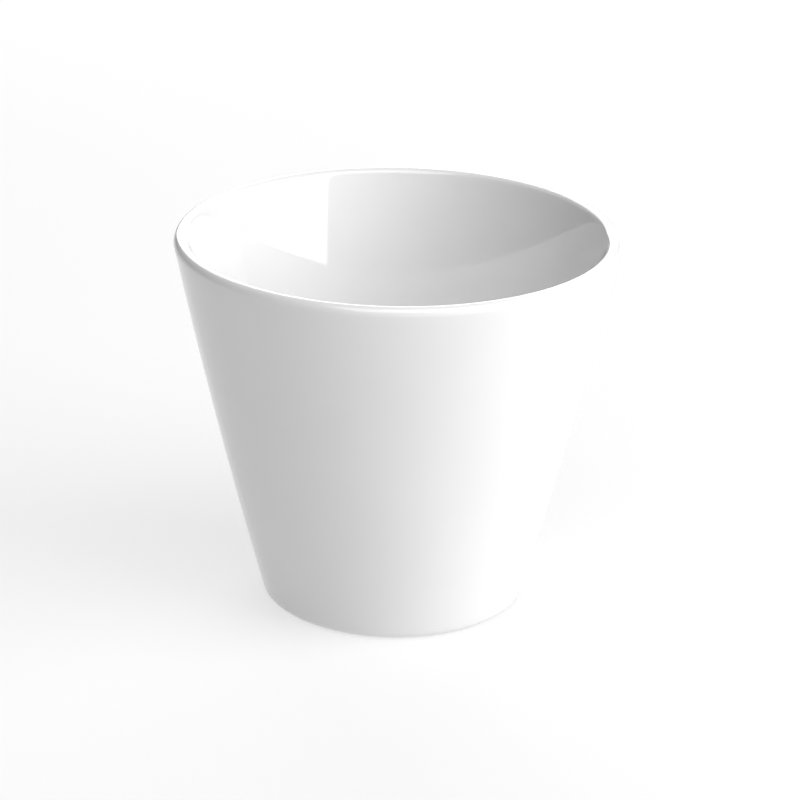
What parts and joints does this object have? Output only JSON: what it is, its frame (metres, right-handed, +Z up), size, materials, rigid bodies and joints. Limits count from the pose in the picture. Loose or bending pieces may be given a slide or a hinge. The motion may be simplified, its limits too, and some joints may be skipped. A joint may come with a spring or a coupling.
{
  "type": "handleless porcelain cup",
  "caption": "Tapered porcelain cup with no handle, a thin rounded lip on a thicker wall, a slight outward bow and a shallow recess inside its foot ring, for hot coffee or tea.",
  "frame": {"origin": "centre of the cup's footprint, on the plane that its foot ring rests on", "axes": "+Z up along the cup's axis, from the foot to the mouth; the cup is a surface of revolution, so X and Y are interchangeable"},
  "size_m": [0.085, 0.085, 0.0735],
  "materials": {
    "glazed_porcelain": "clear gloss glaze over white porcelain"
  },
  "bodies": {
    "root": {"cup_body": "glazed_porcelain"}
  },
  "joints": []
}
